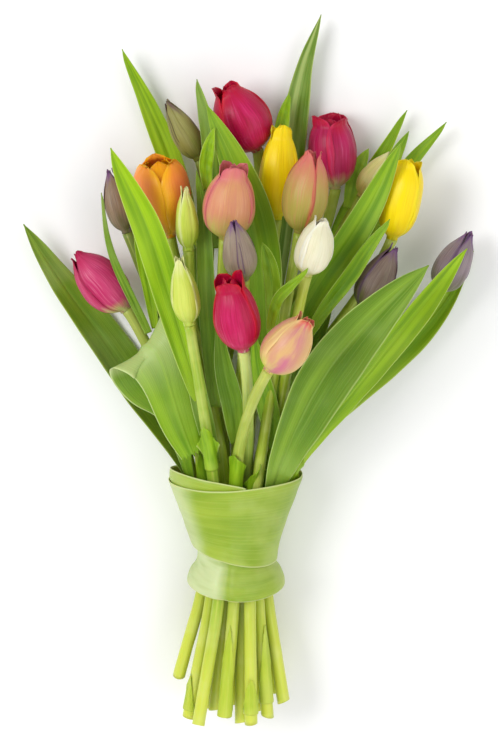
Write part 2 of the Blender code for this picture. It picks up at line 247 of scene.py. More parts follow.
def petalMaterial(name, look, seed):
    g = Graph(name)
    u, v, side = g.grain()
    fine = g.drawn(u, v, 40.0, 2.4, seed, 4.0)
    wide = g.drawn(u, v, 3.2, 1.6, seed + 3.0)
    uneven = g.times(g.maths("SUBTRACT", wide, 0.5), 0.45)
    rise = g.maths("ADD", v, uneven)
    grown = g.ramp(rise, look.get("baseEnd", 0.05), look.get("bodyStart", 0.4))
    colour = g.mix(grown, look["base"], look["body"])
    middle = g.times(g.ramp(side, look.get("flameWidth", 0.75), 0.05), g.ramp(wide, 0.30, 0.62))
    colour = g.mix(g.times(middle, look.get("flameShare", 0.5)), colour, look["flame"])
    colour = g.mix(g.times(g.ramp(fine, 0.48, 0.68), look.get("streakShare", 0.4)), colour, look["streak"])
    colour = g.mix(g.times(g.ramp(fine, 0.46, 0.26), 0.30), colour, look.get("shine", look["flame"]))
    tip = g.ramp(rise, look.get("tipStart", 0.72), 1.0)
    colour = g.mix(g.times(tip, 0.8), colour, look["tip"])
    rim = g.ramp(g.maths("ADD", side, g.times(uneven, 0.4)), look.get("edgeStart", 0.74), 1.0)
    colour = g.mix(g.times(rim, 0.75), colour, look["edge"])
    rough = g.maths("ADD", g.times(fine, 0.22), 0.22)
    return g.finish(colour, fine, 0.0004, rough, Subsurface_Weight=0.06, Subsurface_Scale=0.003,
                    Specular_IOR_Level=0.25)


def stemMaterial(name, look, seed):
    g = Graph(name)
    u, v, _ = g.grain()
    fine = g.drawn(u, v, 16.0, 6.0, seed)
    colour = g.mix(g.ramp(v, 0.04, 0.42), look["foot"], look["middle"])
    colour = g.mix(g.ramp(v, 0.72, 1.0), colour, look["neck"])
    colour = g.mix(g.times(g.ramp(fine, 0.46, 0.66), 0.45), colour, look["streak"])
    colour = g.mix(g.times(g.ramp(g.cloud(55.0), 0.46, 0.75), 0.40), colour, look["haze"])
    # painted shade: darker green patches along the stem
    colour = g.mix(g.times(g.ramp(g.drawn(u, v, 5.0, 3.0, seed + 5), 0.5, 0.75), 0.35), colour, look["paintedShade"])
    rough = g.maths("ADD", g.times(fine, 0.2), 0.28)
    return g.finish(colour, fine, 0.0003, rough, Subsurface_Weight=0.10, Subsurface_Scale=0.003,
                    Specular_IOR_Level=0.42)


def cutMaterial():
    g = Graph("cutEnd")
    spots = g.cloud(1500.0, 1.0)
    colour = g.mix(g.ramp(spots, 0.45, 0.62), tone(206, 214, 138), tone(164, 178, 84))
    return g.finish(colour, spots, 0.0003, 0.55, Subsurface_Weight=0.1, Subsurface_Scale=0.003)


def wrapMaterial(name, look, seed):
    # the strip's length runs round the stems, so its veins do too
    g = Graph(name)
    u, v, side = g.grain()
    fine = g.drawn(v, u, 70.0, 5.0, seed)
    broad = g.drawn(v, u, 3.5, 4.5, seed + 4.0, 2.0)
    colour = g.mix(g.ramp(broad, 0.34, 0.68), look["dark"], look["light"])
    colour = g.mix(g.times(g.ramp(g.cloud(30.0, 3.0), 0.45, 0.70), look["hazeShare"]), colour, look["haze"])
    colour = g.mix(g.times(g.ramp(fine, 0.48, 0.66), 0.26), colour, look["vein"])
    colour = g.mix(g.times(g.ramp(fine, 0.46, 0.30), 0.18), colour, look["dark"])
    # painted highlight: a paler stretch on the band's left, where the key light falls
    paintedHighlight = g.times(g.ramp(u, look["highlightFrom"] - 0.02, look["highlightFrom"] + 0.03),
                   g.ramp(u, look["highlightFrom"] + 0.30, look["highlightFrom"] + 0.10))
    paintedHighlight = g.times(paintedHighlight, g.ramp(broad, 0.1, 0.5))
    colour = g.mix(g.times(paintedHighlight, look.get("highlightShare", 0.5)), colour, look["paintedHighlight"])
    ends = g.maths("ABSOLUTE", g.maths("SUBTRACT", g.times(v, 2.0), 1.0))
    colour = g.mix(g.times(g.ramp(ends, 0.955, 0.99), 0.85), colour, look["edge"])
    colour = g.mix(g.times(g.ramp(side, 0.985, 0.999), 0.8), colour, look["edge"])
    rough = g.maths("ADD", g.times(fine, 0.2), 0.30)
    return g.finish(colour, fine, 0.0004, rough, Subsurface_Weight=0.10, Subsurface_Scale=0.003,
                    Specular_IOR_Level=0.40)


def cadMesh(node):
    mesh = nodes[node].data
    points = np.array([v.co[:] for v in mesh.vertices])
    edges = np.array([e.vertices[:] for e in mesh.edges])
    return points, edges


def section(points, edges, origin, normal):
    # where a node's edges cross a plane
    side = (points - origin) @ normal
    first, second = edges[:, 0], edges[:, 1]
    cross = side[first] * side[second] < 0
    a, b = points[first[cross]], points[second[cross]]
    share = side[first[cross]] / (side[first[cross]] - side[second[cross]])
    return a + (b - a) * share[:, None]


tieLow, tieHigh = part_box("tie")
tieCentre = np.array((tieLow + tieHigh) / 2)
upward = np.array([0.0, 0.0, 1.0])
headward = np.array([0.0, 1.0, 0.0])


def stemLine(node):
    # a stem's centre line from cut end to neck, and its radius along it
    points, edges = cadMesh(node)
    low, high = points[:, 1].min(), points[:, 1].max()
    line, radius = [], []
    first, last = low + stemDesign["footMargin"], high - stemDesign["neckMargin"]
    for y in np.linspace(first, last, stemDesign["cuts"]):
        cut = section(points, edges, np.array([0, y, 0]), headward)
        line.append((cut.min(axis=0) + cut.max(axis=0)) / 2)
    line = relax(line, 3)
    for place, ahead in zip(line, np.gradient(line, axis=0)):
        cut = section(points, edges, place, unit(ahead))
        near = cut[np.linalg.norm(cut - place, axis=1) < stemDesign["widest"]]
        radius.append(np.linalg.norm(near - place, axis=1).max())
    radius = relax(radius, 6)
    startWay, endWay = unit(line[0] - line[2]), unit(line[-1] - line[-3])
    start = line[0] + startWay * ((points - line[0]) @ startWay).max()
    end = line[-1] + endWay * ((points - line[-1]) @ endWay).max()
    line = np.vstack([start, line, end])
    radius = np.concatenate([[radius[0]], radius, [radius[-1]]])
    run = np.concatenate([[0], np.cumsum(np.linalg.norm(np.diff(line, axis=0), axis=1))])
    even = np.linspace(0, 1, stemDesign["rings"])
    line = np.stack([np.interp(even, run / run[-1], line[:, i]) for i in range(3)], axis=1)
    return relax(line, 8), np.interp(even, run / run[-1], radius)


# the darkest green here is painted shade for the stems
stemLook = {
    "foot": tone(206, 216, 74), "middle": tone(162, 184, 44), "neck": tone(156, 176, 54),
    "streak": tone(206, 214, 100), "haze": tone(216, 222, 130), "paintedShade": tone(136, 168, 26),
}
stemLooks = {
    "crimson_centre": {"neck": tone(186, 200, 112), "middle": tone(160, 184, 74)},
    "magenta_left": {"neck": tone(172, 184, 84)},
    "peach_front": {"middle": tone(158, 178, 62), "neck": tone(176, 186, 80)},
    "white": {"neck": tone(170, 182, 50)}, "olive_bud": {"neck": tone(120, 132, 50)},
    "pale_bud_lower": {"neck": tone(160, 186, 56), "middle": tone(146, 180, 44)},
    "purple_left": {"middle": tone(112, 150, 34), "neck": tone(122, 142, 60)},
}
stemDesign = {"cuts": 44, "rings": 90, "footMargin": 2.5 * mm, "neckMargin": 3.0 * mm, "widest": 6 * mm,
              "sides": 24, "neckFlare": 0.12, "ribs": 5, "ribDepth": 0.018, "wander": 0.02,
              "slant": 0.12, "slantSpread": 0.22, "pithShare": 0.78, "rimDepth": 0.3 * mm,
              "pithDepth": 0.9 * mm, "neckRise": 0.5 * mm}
cutEnd = cutMaterial()
flowers = [name[5:] for name in sorted(nodes) if name.startswith("stem_")]
stemLines = {flower: stemLine("stem_" + flower) for flower in flowers}


def across(ahead):
    right = unit(np.cross(ahead, upward))
    return right, np.cross(right, ahead)


def makeStem(flower, order):
    line, radius = stemLines[flower]
    rings, sides = len(line), stemDesign["sides"]
    ahead = unit(np.gradient(line, axis=0))
    right, up = across(ahead)
    angle = np.linspace(0, 2 * math.pi, sides, endpoint=False)
    down = np.linspace(0, 1, rings)[:, None]
    ribs = 1 - stemDesign["ribDepth"] * np.abs(np.sin(angle * stemDesign["ribs"] / 2 + order))
    uneven = 1 + stemDesign["wander"] * wobble(np.cos(angle) * 2, down * 22, order * 1.7)
    flare = 1 + stemDesign["neckFlare"] * smooth((down - 0.965) / 0.035)
    size = (radius[:, None] * uneven * flare * ribs)[..., None]
    circle = right[:, None] * np.cos(angle)[:, None] + up[:, None] * np.sin(angle)[:, None]
    points = line[:, None] + circle * size
    slant = stemDesign["slant"] + stemDesign["slantSpread"] * abs(math.sin(order * 2.1))
    points[0] += ahead[0] * radius[0] * slant * (1 + np.cos(angle - order))[:, None]
    index = np.arange(rings * sides).reshape(rings, sides)
    faces = np.stack([index[:-1], np.roll(index[:-1], -1, 1), np.roll(index[1:], -1, 1), index[1:]], -1)
    faces = [tuple(face) for face in faces.reshape(-1, 4)]
    grain = np.stack(np.broadcast_arrays(angle / (2 * math.pi), down), axis=-1).reshape(-1, 2)
    # the neck closes in a shallow cone, and the cut end has a sunken pith
    top, hub = rings * sides, rings * sides + 1 + sides
    middle = points[0].mean(axis=0)
    inner = middle + (points[0] - middle) * stemDesign["pithShare"] + ahead[0] * stemDesign["rimDepth"]
    closing, pith = line[-1] + ahead[-1] * stemDesign["neckRise"], middle + ahead[0] * stemDesign["pithDepth"]
    extra = [closing, *inner, pith]
    faces += [(index[-1][i], index[-1][(i + 1) % sides], top) for i in range(sides)]
    cutFrom = len(faces)
    for i in range(sides):
        k = (i + 1) % sides
        faces.append((i, top + 1 + i, top + 1 + k, k))
        faces.append((top + 1 + i, hub, top + 1 + k))
    points = np.concatenate([points.reshape(-1, 3), np.array(extra)])
    grain = np.concatenate([grain, [[0.5, 1.0]], np.tile([0.5, 0.0], (sides + 1, 1))])
    material = stemMaterial("stem." + flower, dict(stemLook, **stemLooks.get(flower, {})), order * 3.7)
    makePiece("stem." + flower, (points, faces, grain), material, "stem_" + flower, cutEnd, cutFrom)


for order, flower in enumerate(flowers):
    makeStem(flower, order)
print("stems:", len(flowers))

crimson = {
    "base": tone(226, 200, 176), "body": tone(176, 4, 62), "flame": tone(216, 46, 114),
    "streak": tone(140, 0, 40), "tip": tone(184, 8, 46), "edge": tone(206, 12, 36),
    "shine": tone(228, 84, 146),
    "baseEnd": -0.06, "bodyStart": 0.10, "flameShare": 0.5,
}
magenta = {
    "base": tone(206, 212, 130), "body": tone(192, 44, 98), "flame": tone(222, 96, 142),
    "streak": tone(162, 18, 72), "tip": tone(182, 20, 76), "edge": tone(150, 10, 58),
    "shine": tone(236, 150, 180),
    "baseEnd": 0.0, "bodyStart": 0.24,
}
yellow = {
    "base": tone(190, 194, 30), "body": tone(250, 216, 0), "flame": tone(254, 228, 14),
    "streak": tone(236, 194, 0), "tip": tone(250, 220, 4), "edge": tone(254, 232, 40),
    "baseEnd": -0.08, "bodyStart": 0.18, "flameShare": 0.5,
}
purple = {
    "base": tone(92, 98, 42), "body": tone(124, 104, 92), "flame": tone(156, 142, 126),
    "streak": tone(102, 82, 82), "tip": tone(116, 66, 136), "edge": tone(92, 62, 104),
    "shine": tone(182, 168, 164),
    "baseEnd": 0.0, "bodyStart": 0.45, "tipStart": 0.78,
}
paleBud = {
    "base": tone(166, 192, 48), "body": tone(198, 212, 78), "flame": tone(218, 224, 118),
    "streak": tone(172, 194, 60), "tip": tone(236, 234, 176), "edge": tone(236, 238, 170),
}
# each head's colours, with inner for petals of a second colour inside, which way its first petal
# faces in degrees, how far petal edges stand off, how open and ragged its top is, how broad its
# petals end, and how uneven their lengths are
heads = {
    "crimson_top": dict(look=crimson, turn=22, lift=1.1, open=0.3, blunt=0.50, uneven=0.05),
    "crimson_right": dict(look=dict(crimson, base=tone(200, 206, 130), body=tone(168, 22, 78), baseEnd=0.0,
                                    bodyStart=0.28, edge=tone(206, 40, 84), shine=tone(214, 120, 168)),
                          turn=55, lift=1.2, open=0.8, blunt=0.75, uneven=0.07),
    "crimson_centre": dict(look=crimson, turn=-14, lift=0.9, open=0.25, blunt=0.70, uneven=0.05),
    "magenta_left": dict(look=magenta, turn=30, lift=0.8, open=0.15, blunt=0.35, uneven=0.05),
    "yellow_centre": dict(look=yellow, turn=8, lift=1.0, open=0.4, blunt=0.55, uneven=0.06),
    "yellow_right": dict(look=yellow, turn=-18, lift=1.3, open=0.7, blunt=0.6, uneven=0.09),
    "orange": dict(look={
        "base": tone(222, 158, 84), "body": tone(244, 138, 60), "flame": tone(234, 120, 84),
        "streak": tone(250, 162, 60), "tip": tone(252, 160, 20), "edge": tone(255, 190, 8), "edgeStart": 0.52,
        "bodyStart": 0.3, "flameShare": 0.8, "flameWidth": 0.9},
        inner={"base": tone(240, 150, 20), "body": tone(252, 172, 0), "flame": tone(255, 190, 10),
               "streak": tone(236, 120, 10), "tip": tone(252, 164, 0), "edge": tone(255, 196, 20)},
        turn=66, lift=1.5, open=1.4, blunt=0.5, uneven=0.05),
    "pink_centre": dict(look={
        "base": tone(180, 182, 76), "body": tone(212, 142, 106), "flame": tone(214, 166, 98),
        "streak": tone(204, 126, 112), "tip": tone(212, 104, 118), "edge": tone(208, 92, 112),
        "shine": tone(232, 188, 160), "bodyStart": 0.45, "flameShare": 0.7},
        turn=0, lift=0.7, open=0.1, blunt=0.62, uneven=0.02),
    "pink_green": dict(look={
        "base": tone(150, 152, 54), "body": tone(184, 156, 84), "flame": tone(172, 160, 74),
        "streak": tone(206, 136, 104), "tip": tone(222, 96, 110), "edge": tone(206, 62, 74),
        "shine": tone(214, 184, 130), "bodyStart": 0.7, "edgeStart": 0.82, "tipStart": 0.46},
        turn=-40, lift=0.8, open=0.4, blunt=0.40, uneven=0.03),
    "peach_front": dict(look={
        "base": tone(214, 208, 92), "body": tone(220, 176, 118), "flame": tone(198, 100, 138),
        "streak": tone(216, 146, 120), "tip": tone(210, 64, 60), "edge": tone(234, 200, 130),
        "shine": tone(232, 200, 156), "bodyStart": 0.40, "flameShare": 0.9, "flameWidth": 0.8,
        "streakShare": 0.2, "tipStart": 0.84},
        turn=10, lift=1.0, open=0.3, blunt=0.48, uneven=0.04),
    "white": dict(look={
        "base": tone(190, 190, 56), "body": tone(232, 226, 192), "flame": tone(242, 238, 214),
        "streak": tone(216, 208, 162), "tip": tone(242, 238, 216), "edge": tone(246, 244, 228),
        "bodyStart": 0.22}, turn=26, lift=0.9, open=0.2, blunt=0.45, uneven=0.05),
    "pale_bud_upper": dict(look=paleBud, turn=25, lift=0.6, open=0.0, blunt=0.40, uneven=0.03),
    "pale_bud_lower": dict(look=paleBud, turn=-8, lift=0.6, open=0.0, blunt=0.40, uneven=0.03),
    "cream_bud": dict(look=dict(paleBud, base=tone(216, 186, 104), body=tone(224, 210, 142)),
                      turn=50, lift=0.6, open=0.1, blunt=0.2, uneven=0.05),
    "olive_bud": dict(look={
        "base": tone(118, 128, 40), "body": tone(148, 144, 76), "flame": tone(170, 164, 106),
        "streak": tone(112, 104, 60), "tip": tone(104, 70, 84), "edge": tone(84, 66, 50), "edgeStart": 0.86},
        turn=18, lift=0.8, open=0.15, blunt=0.2, uneven=0.05),
    "purple_left": dict(look=dict(purple, body=tone(134, 108, 82), flame=tone(164, 146, 122)),
                        turn=-22, lift=0.8, open=0.15, blunt=0.28, uneven=0.05),
    "purple_right": dict(look=purple, turn=14, lift=0.8, open=0.15, blunt=0.28, uneven=0.05),
    "purple_far": dict(look=dict(purple, body=tone(136, 118, 126), flame=tone(166, 152, 152)),
                       turn=40, lift=0.8, open=0.15, blunt=0.25, uneven=0.05),
    "lilac_centre": dict(look=dict(purple, body=tone(146, 128, 112), flame=tone(176, 162, 132),
                                   base=tone(114, 120, 60), edge=tone(84, 46, 92), edgeStart=0.88),
                         turn=62, lift=0.8, open=0.1, blunt=0.22, uneven=0.04),
}
petalDesign = {
    "rows": 34, "columns": 19, "outerSpan": 66, "innerSpan": 60, "tuck": 1.5 * mm, "thick": 0.8 * mm,
    "keel": 0.45 * mm, "uneven": 0.25 * mm, "least": 0.35 * mm,
}


def headForm(node, neck):
    # a head's base, axis and length, and its radius at even heights
    points, edges = cadMesh(node)
    away = np.linalg.norm(points - neck, axis=1)
    base, tip = points[away.argmin()], points[away.argmax()]
    axis, length = unit(tip - base), np.linalg.norm(tip - base)
    heights = np.linspace(0.04, 0.96, 24)
    profile = []
    for share in heights:
        off = section(points, edges, base + axis * length * share, axis) - base
        off = off - np.outer(off @ axis, axis)
        profile.append(np.percentile(np.linalg.norm(off, axis=1), 85))
    return base, axis, length, np.concatenate([[0], heights, [1]]), relax([0, *profile, 0], 5)


def makeHead(flower, order):
    design = heads[flower]
    line, radius = stemLines[flower]
    base, axis, length, heights, profile = headForm("head_" + flower, line[-1])
    right = unit(np.cross(axis, upward))
    front = np.cross(right, axis)
    front = front if front[2] > 0 else -front
    lift, opened, blunt = design["lift"] * mm, design["open"], design["blunt"]

    def petal(number):
        inner = number % 2
        middle = math.radians(design["turn"] + 60 * number + 5 * math.sin(order * 3 + number * 2.3))
        reach = (0.97 if inner else 0.99) - design["uneven"] * (0.5 + 0.5 * math.sin(order + number * 2.1))
        span = math.radians(petalDesign["innerSpan"] if inner else petalDesign["outerSpan"])
        tuck = petalDesign["tuck"] * (1.0 if inner else 0.25)
        flop = opened * (0.55 + 0.45 * math.sin(order * 2 + number * 1.9)) * mm

        def surface(u, v):
            height = v * reach
            body = np.interp(height, heights, profile)
            body = np.maximum(body, radius[-1] * (1 - smooth((height - 0.05) / 0.25)))
            body = np.maximum(body, blunt * profile.max() * smooth((height - 0.40) / 0.5))
            taper = np.clip((v - 0.5) / 0.5, 0, 1)
            full = np.sqrt(np.maximum(1 - taper ** (2.4 + 5 * blunt), 0))
            half = span * (0.05 + 0.95 * full)
            out = body - tuck * smooth(height / 0.15) * (1 - 0.5 * taper)
            out = out + lift * np.abs(u) ** 4 * smooth((v - 0.12) / 0.4) * (0.3 if inner else 0.8)
            out = out - petalDesign["keel"] * np.exp(-(u / 0.09) ** 2) * smooth(v / 0.25)
            out = out + flop * 1.6 * smooth((v - 0.62) / 0.38)
            out = out + petalDesign["uneven"] * wobble(u * 2, v * 3, order + number)
            closing = 0.90 - 0.20 * blunt if inner else 0.30 - 0.18 * blunt
            closing = closing * smooth((v - 0.70) / 0.30)
            out = out * (1 - closing * (1 - 0.6 * min(opened, 1)))
            out = np.maximum(out, petalDesign["least"])
            angle = middle + u * half + 0.05 * wobble(v * 5, u, number + order)
            notch = 0.012 * length * (0.3 + opened) * np.abs(np.sin(u * 7 + number)) * smooth((v - 0.9) / 0.1)
            rise = base + axis * (height * length - notch)[..., None]
            away = right * np.sin(angle)[..., None] + front * np.cos(angle)[..., None]
            return rise + away * out[..., None]

        return sheet(surface, petalDesign["rows"], petalDesign["columns"],
                     lambda u, v: petalDesign["thick"] * (1 - 0.65 * np.abs(u) ** 4) * (1 - 0.45 * v))

    material = petalMaterial("head." + flower, design["look"], order * 2.3)
    shape = joined([petal(number) for number in (0, 2, 4, 1, 3, 5)])
    inside, insideFrom = None, None
    if "inner" in design:
        inside = petalMaterial("head." + flower + ".inner", design["inner"], order * 2.3 + 1)
        insideFrom = len(shape[1]) // 2
    node = "head_" + flower
    makePiece("head." + flower, shape, material, node, inside, insideFrom)


for order, flower in enumerate(flowers):
    makeHead(flower, order)
print("heads:", len(flowers))

bright = {"dark": tone(112, 158, 0), "light": tone(154, 196, 14), "vein": tone(172, 206, 60),
          "groove": tone(92, 138, 0), "base": tone(168, 198, 50), "edge": tone(198, 220, 112),
          "haze": tone(164, 196, 50)}
mid = {"dark": tone(98, 146, 6), "light": tone(140, 180, 24), "vein": tone(158, 194, 62),
       "groove": tone(76, 120, 2), "base": tone(154, 188, 46), "edge": tone(190, 214, 108),
       "haze": tone(148, 182, 62)}
deep = {"dark": tone(90, 130, 12), "light": tone(130, 166, 42), "vein": tone(150, 182, 78),
        "groove": tone(68, 106, 6), "base": tone(146, 180, 50), "edge": tone(184, 208, 120),
        "haze": tone(152, 180, 98), "hazeShare": 0.5}
leafLooks = {
    "leaf_far_left": dict(look=deep), "leaf_upper_left": dict(look=bright, twist=14),
    "leaf_long_left": dict(look=bright), "leaf_dark_top": dict(look=deep, twist=20),
    "leaf_centre": dict(look=mid), "leaf_upright": dict(look=deep),
    "leaf_tallest": dict(look=dict(deep, light=tone(168, 190, 108)), twist=45),
    "leaf_small_top": dict(look=bright),
    "leaf_back_right": dict(look=bright, twist=25), "leaf_top_right": dict(look=mid, twist=30),
    "leaf_broad_right": dict(look=mid), "leaf_narrow_right": dict(look=mid),
    "leaf_front_right": dict(look=deep, waist=0.25), "leaf_bright_right": dict(look=bright, twist=20),
    "leaf_outer_right": dict(look=mid, twist=25), "leaf_curl": dict(look=bright, twist=25),
    "leaf_short": dict(look=mid), "leaf_thin": dict(look=deep),
}
leafDesign = {"cuts": 36, "foldCuts": 40, "rows": 84, "columns": 19, "thick": 0.7 * mm,
              "wave": 0.5 * mm, "keel": 0.07, "keelWidth": 0.10, "least": 0.3 * mm, "ragged": 3 * mm}


def leafForm(node):
    # a leaf's middle line, side direction, half width and trough depth, from base to tip
    points, edges = cadMesh(node)
    middle = points.mean(axis=0)
    far = points[np.linalg.norm(points - middle, axis=1).argmax()]
    other = points[np.linalg.norm(points - far, axis=1).argmax()]
    base, tip = sorted((far, other), key=lambda end: np.linalg.norm(end - tieCentre))
    chord, length = unit(tip - base), np.linalg.norm(tip - base)
    centres, sides, halves, depths = [], [], [], []
    for share in np.linspace(0.02, 0.975, leafDesign["cuts"]):
        cut = section(points, edges, base + chord * length * share, chord)
        spread = np.linalg.svd(cut - cut.mean(axis=0))[2][0]
        if sides and spread @ sides[-1] < 0 or not sides and spread[0] < 0:
            spread = -spread
        face = unit(np.cross(spread, chord))
        off = cut - cut.mean(axis=0)
        along, height = off @ spread, off @ face
        low, high = along.min(), along.max()
        half, shift = (high - low) / 2, (high + low) / 2
        outer = height[np.abs(along - shift) > half * 0.8].mean()
        inner = height[np.abs(along - shift) < half * 0.45]
        centres.append(cut.mean(axis=0) + spread * shift + face * outer)
        sides.append(spread)
        halves.append(half)
        depths.append(outer - inner.mean() if len(inner) else 0.0)
    centres.append(tip)
    sides.append(sides[-1])
    halves.append(0.0)
    depths.append(0.0)
    return relax(centres, 3), relax(sides, 5), relax(halves, 2), relax(depths, 5)


def stripForm(node):
    # a folded leaf's middle line and half width, read by how far each place is along its surface
    points, edges = cadMesh(node)
    keys, where = np.unique(np.round(points / (0.01 * mm)).astype(int), axis=0, return_inverse=True)
    points, edges = keys * 0.01 * mm, where.reshape(-1)[edges]
    reach = np.full(len(points), np.inf)
    near = [[] for _ in points]
    for a, b in edges:
        gap = np.linalg.norm(points[a] - points[b])
        near[a].append((b, gap))
        near[b].append((a, gap))
    start = int(np.linalg.norm(points - tieCentre, axis=1).argmin())
    reach[start] = 0.0
    queue = [(0.0, start)]
    while queue:
        gone, place = heapq.heappop(queue)
        if gone > reach[place]:
            continue
        for other, gap in near[place]:
            if gone + gap < reach[other]:
                reach[other] = gone + gap
                heapq.heappush(queue, (gone + gap, other))
    centres, sides, halves = [], [], []
    for level in np.linspace(0.02, 0.97, leafDesign["foldCuts"]) * reach.max():
        side = reach - level
        cross = side[edges[:, 0]] * side[edges[:, 1]] < 0
        a, b = edges[cross, 0], edges[cross, 1]
        cut = points[a] + (points[b] - points[a]) * (side[a] / (side[a] - side[b]))[:, None]
        middle = cut.mean(axis=0)
        spread = np.linalg.svd(cut - middle)[2][0]
        if sides and spread @ sides[-1] < 0 or not sides and spread[0] < 0:
            spread = -spread
        along = (cut - middle) @ spread
        centres.append(middle + spread * (along.max() + along.min()) / 2)
        sides.append(spread)
        halves.append((along.max() - along.min()) / 2)
    return relax(centres, 2), relax(sides, 6), relax(halves, 2), np.zeros(len(halves))


def bladeSheet(form, twist=0, seed=0.0, ragged=0.0):
    centre, side, half, depth = form
    rows = leafDesign["rows"]
    t = np.linspace(0, 1, rows)
    centre, side = relax(pick(centre, t), 6), unit(relax(pick(side, t), 6))
    half, depth = pick(half, t), pick(depth, t)
    ahead = unit(np.gradient(centre, axis=0))
    side = unit(side - ahead * np.sum(side * ahead, axis=1, keepdims=True))
    face = np.cross(side, ahead)
    turn = (math.radians(twist) * smooth((t - 0.55) / 0.45))[:, None]
    side, face = side * np.cos(turn) + face * np.sin(turn), face * np.cos(turn) - side * np.sin(turn)

    def surface(u, v):
        width = np.maximum(pick(half, v), leafDesign["least"])
        wave = leafDesign["wave"] * u * np.abs(u) * np.sin(v * 11 + seed + np.sign(u) * 1.3)
        wave = wave + 0.4 * mm * wobble(u * 2, v * 9, seed)
        keel = leafDesign["keel"] * width * np.exp(-(u / leafDesign["keelWidth"]) ** 2)
        hollow = pick(depth, v) * (u * u - 1) - keel
        lifted = hollow + wave * smooth(width / (5 * mm))
        tear = ragged * np.abs(np.sin(u * 9 + seed)) * smooth((v - 0.9) / 0.1)
        place = pick(centre, v) - pick(ahead, v) * tear[..., None]
        return place + pick(side, v) * (width * u)[..., None] + pick(face, v) * lifted[..., None]

    return sheet(surface, rows, leafDesign["columns"],
                 lambda u, v: leafDesign["thick"] * (1 - 0.65 * np.abs(u) ** 3) * (1 - 0.35 * v))


for order, (node, design) in enumerate(leafLooks.items()):
    centre, side, half, depth = leafForm(node)
    half = half * (1 - design.get("waist", 0) * (1 - smooth(np.linspace(0, 1, len(half)) / 0.55)))
    shape = bladeSheet((centre, side, half, depth), design.get("twist", 0), order * 1.3)
    name = node.replace("leaf_", "leaf.")
    makePiece(name, shape, leafMaterial(name, design["look"], order * 4.1), node)

foldLook = dict(mid, dark=tone(96, 140, 4), light=tone(132, 172, 22), haze=tone(150, 182, 66), hazeShare=0.45,
                edge=tone(206, 222, 150), base=tone(186, 204, 130), baseShare=0.8, baseEnd=0.80,
                baseStart=0.62, baseFrom=0.52)
foldShape = bladeSheet(stripForm("leaf_folded"), 0, 2.0, leafDesign["ragged"])
makePiece("leaf.folded", foldShape, leafMaterial("leaf.folded", foldLook, 9.0), "leaf_folded")
print("leaves:", len(leafLooks) + 1)

# small leaves that grow beside a head: their spines in millimetres from the middle of that head's box
smallLeaves = {
    "small": dict(beside="head_pink_centre",
                  spine=((-13, 4, -14), (-14, 18, -14), (-12, 30, -13), (-9, 40, -13)),
                  width=8, look=bright),
    "pointed": dict(beside="head_crimson_right",
                    spine=((9, -34, 4), (12, -18, 2), (17, -6, 1), (21, 1, 0)),
                    width=9, look=mid),
    "hidden": dict(beside="head_yellow_right",
                   spine=((-16, -8, -14), (-9, 8, -14), (-2, 24, -14), (5, 37, -14)),
                   width=9, look=mid),
    "narrow": dict(beside="head_orange",
                   spine=((-6, -82, -14), (-9, -60, -13), (-14, -38, -12), (-18, -20, -12)),
                   width=7, look=bright),
    "innerLeft": dict(beside="head_crimson_centre",
                      spine=((-1, -92, -52), (-3, -66, -40), (-9, -40, -34), (-12, -12, -34)),
                      width=13, look=deep),
    "innerRight": dict(beside="head_crimson_centre",
                       spine=((22, -94, -50), (18, -70, -42), (12, -44, -37), (9, -20, -36)),
                       width=13, look=mid),
    "innerFar": dict(beside="head_crimson_centre",
                     spine=((-14, -104, -52), (-20, -76, -44), (-26, -48, -42), (-30, -18, -40)),
                     width=11, look=deep),
    "behindLeft": dict(beside="head_lilac_centre",
                       spine=((-2, -122, -58), (-12, -84, -60), (-24, -40, -60), (-32, 4, -58)),
                       width=15, look=deep),
    "behindRight": dict(beside="head_white",
                        spine=((-22, -128, -48), (-8, -90, -46), (6, -50, -44), (16, -8, -42)),
                        width=15, look=deep),
}


smallLeafDesign = {"rows": 30, "twist": 12, "trough": 0.3}


def makeSmallLeaf(name, design, order):
    low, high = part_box(design["beside"])
    middle = np.array((low + high) / 2)
    rows = smallLeafDesign["rows"]
    t = np.linspace(0, 1, rows)
    centre = relax(pick(middle + np.array(design["spine"]) * mm, t), 10)
    side = np.tile(unit(np.cross(centre[-1] - centre[0], upward)), (rows, 1))
    half = design["width"] * mm / 2 * np.sin(math.pi * (0.16 + 0.84 * t)) ** 0.8
    form = centre, side, np.append(half[:-1], 0), half * smallLeafDesign["trough"]
    shape = bladeSheet(form, smallLeafDesign["twist"], order + 0.7)
    material = leafMaterial("leaf." + name, design["look"], order * 2.9 + 50)
    makePiece("leaf." + name, shape, material)


for order, (name, design) in enumerate(smallLeaves.items()):
    makeSmallLeaf(name, design, order)
print("small leaves:", len(smallLeaves))

